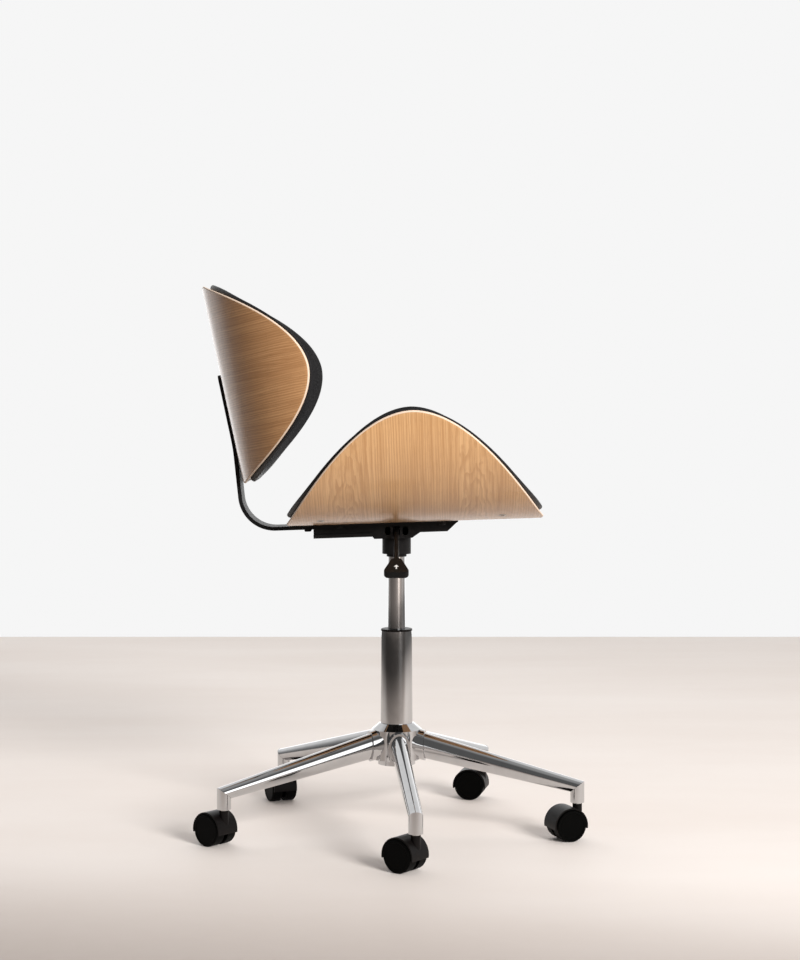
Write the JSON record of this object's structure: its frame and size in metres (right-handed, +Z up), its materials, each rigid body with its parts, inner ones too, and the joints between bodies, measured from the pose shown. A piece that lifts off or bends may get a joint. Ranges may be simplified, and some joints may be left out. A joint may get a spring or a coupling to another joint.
{
  "type": "desk chair",
  "caption": "Swivel desk chair with moulded plywood seat and back, black pads, gas lift with side lever, and chromed spider base on twin-wheel casters.",
  "frame": {"origin": "on the floor, on the column's axis, midway between the caster stems", "axes": "+Z up along the column, +X the way the seat faces at rest, +Y to the sitter's left"},
  "size_m": [0.6198, 0.596, 0.8728],
  "materials": {
    "chrome": "polished chrome plate",
    "bright_steel": "bright zinc",
    "black_steel": "black powder coat, fine texture",
    "black_nylon": "moulded black nylon",
    "wheel_nylon": "moulded black nylon, semi-gloss",
    "oak_plywood": "clear matt lacquer on oak veneer",
    "black_leather": "fine grained black upholstery leather",
    "bumper_rubber": "black rubber"
  },
  "bodies": {
    "base": {"base_hub": "chrome", "arm_1": "chrome", "arm_2": "chrome", "arm_3": "chrome", "arm_4": "chrome", "arm_5": "chrome", "arm_end_sockets": "chrome", "caster_sleeves": "black_nylon", "caster_stems": "bright_steel", "column_tube": "chrome", "column_collar": "black_nylon", "bearing_lower_race": "bright_steel", "bearing_balls": "bright_steel"},
    "lift_rod": {"piston_rod": "bright_steel", "rod_clip": "bright_steel", "piston": "black_nylon", "bearing_upper_race": "bright_steel", "rubber_bumper": "bumper_rubber"},
    "seat_unit": {"gas_cylinder": "chrome", "rod_gland": "black_nylon", "taper_socket": "black_steel", "mech_plate": "black_steel", "mech_channel": "black_steel", "lever_pin": "bright_steel", "back_bar": "black_steel", "seat_shell": "oak_plywood", "seat_pad": "black_leather", "back_shell": "oak_plywood", "back_pad": "black_leather", "pad_screws": "bright_steel", "plate_bolts": "black_steel", "bar_bolts": "black_steel", "back_bolts": "black_steel", "seat_tee_nuts": "bright_steel", "back_tee_nuts": "bright_steel"},
    "height_lever": {"lever_rod": "black_steel", "lever_paddle": "black_nylon"},
    "valve": {"valve_button": "bright_steel"},
    "caster_1": {"caster_hood_1": "black_nylon", "caster_axle_1": "bright_steel"},
    "wheel_1a": {"caster_wheel_1a": "wheel_nylon"},
    "wheel_1b": {"caster_wheel_1b": "wheel_nylon"},
    "caster_2": {"caster_hood_2": "black_nylon", "caster_axle_2": "bright_steel"},
    "wheel_2a": {"caster_wheel_2a": "wheel_nylon"},
    "wheel_2b": {"caster_wheel_2b": "wheel_nylon"},
    "caster_3": {"caster_hood_3": "black_nylon", "caster_axle_3": "bright_steel"},
    "wheel_3a": {"caster_wheel_3a": "wheel_nylon"},
    "wheel_3b": {"caster_wheel_3b": "wheel_nylon"},
    "caster_4": {"caster_hood_4": "black_nylon", "caster_axle_4": "bright_steel"},
    "wheel_4a": {"caster_wheel_4a": "wheel_nylon"},
    "wheel_4b": {"caster_wheel_4b": "wheel_nylon"},
    "caster_5": {"caster_hood_5": "black_nylon", "caster_axle_5": "bright_steel"},
    "wheel_5a": {"caster_wheel_5a": "wheel_nylon"},
    "wheel_5b": {"caster_wheel_5b": "wheel_nylon"}
  },
  "joints": [
    {"name": "seat_swivel", "type": "hinge", "parent": "base", "child": "lift_rod", "pos_m": [0, 0, 0.2], "axis": [0, 0, 1], "continuous": true},
    {"name": "seat_lift", "type": "slide", "parent": "lift_rod", "child": "seat_unit", "axis": [0, 0, 1], "range_m": [-0.1, 0]},
    {"name": "lever_pull", "type": "hinge", "parent": "seat_unit", "child": "height_lever", "pos_m": [0, -0.028, 0.48977], "axis": [-1, 0, 0], "range_deg": [0, 7], "stiffness_Nm_per_rad": 1, "springref_deg": -5.73},
    {"name": "valve_press", "type": "slide", "parent": "seat_unit", "child": "valve", "axis": [0, 0, -1], "range_m": [0, 0.0035]},
    {"name": "caster_1_swivel", "type": "hinge", "parent": "base", "child": "caster_1", "pos_m": [0.02856, -0.2913, 0.05], "axis": [0, 0, 1], "continuous": true},
    {"name": "wheel_1a_spin", "type": "hinge", "parent": "caster_1", "child": "wheel_1a", "pos_m": [0.01299, -0.27957, 0.025], "axis": [0.6018, 0.7986, 0], "continuous": true},
    {"name": "wheel_1b_spin", "type": "hinge", "parent": "caster_1", "child": "wheel_1b", "pos_m": [0.01299, -0.27957, 0.025], "axis": [0.6018, 0.7986, 0], "continuous": true},
    {"name": "caster_2_swivel", "type": "hinge", "parent": "base", "child": "caster_2", "pos_m": [0.28587, -0.06285, 0.05], "axis": [0, 0, 1], "continuous": true},
    {"name": "wheel_2a_spin", "type": "hinge", "parent": "caster_2", "child": "wheel_2a", "pos_m": [0.26767, -0.06984, 0.025], "axis": [-0.3584, 0.9336, 0], "continuous": true},
    {"name": "wheel_2b_spin", "type": "hinge", "parent": "caster_2", "child": "wheel_2b", "pos_m": [0.26767, -0.06984, 0.025], "axis": [-0.3584, 0.9336, 0], "continuous": true},
    {"name": "caster_3_swivel", "type": "hinge", "parent": "base", "child": "caster_3", "pos_m": [0.14812, 0.25246, 0.05], "axis": [0, 0, 1], "continuous": true},
    {"name": "wheel_3a_spin", "type": "hinge", "parent": "caster_3", "child": "wheel_3a", "pos_m": [0.12904, 0.25651, 0.025], "axis": [0.2079, 0.9781, 0], "continuous": true},
    {"name": "wheel_3b_spin", "type": "hinge", "parent": "caster_3", "child": "wheel_3b", "pos_m": [0.12904, 0.25651, 0.025], "axis": [0.2079, 0.9781, 0], "continuous": true},
    {"name": "caster_4_swivel", "type": "hinge", "parent": "base", "child": "caster_4", "pos_m": [-0.19433, 0.21888, 0.05], "axis": [0, 0, 1], "continuous": true},
    {"name": "wheel_4a_spin", "type": "hinge", "parent": "caster_4", "child": "wheel_4a", "pos_m": [-0.20164, 0.23696, 0.025], "axis": [0.9272, 0.3746, 0], "continuous": true},
    {"name": "wheel_4b_spin", "type": "hinge", "parent": "caster_4", "child": "wheel_4b", "pos_m": [-0.20164, 0.23696, 0.025], "axis": [0.9272, 0.3746, 0], "continuous": true},
    {"name": "caster_5_swivel", "type": "hinge", "parent": "base", "child": "caster_5", "pos_m": [-0.26822, -0.11718, 0.05], "axis": [0, 0, 1], "continuous": true},
    {"name": "wheel_5a_spin", "type": "hinge", "parent": "caster_5", "child": "wheel_5a", "pos_m": [-0.28316, -0.10465, 0.025], "axis": [0.6428, 0.766, 0], "continuous": true},
    {"name": "wheel_5b_spin", "type": "hinge", "parent": "caster_5", "child": "wheel_5b", "pos_m": [-0.28316, -0.10465, 0.025], "axis": [0.6428, 0.766, 0], "continuous": true}
  ],
  "couplings": [
    {"joint": "valve_press", "follows": "lever_pull", "m_per_rad": 0.028}
  ]
}
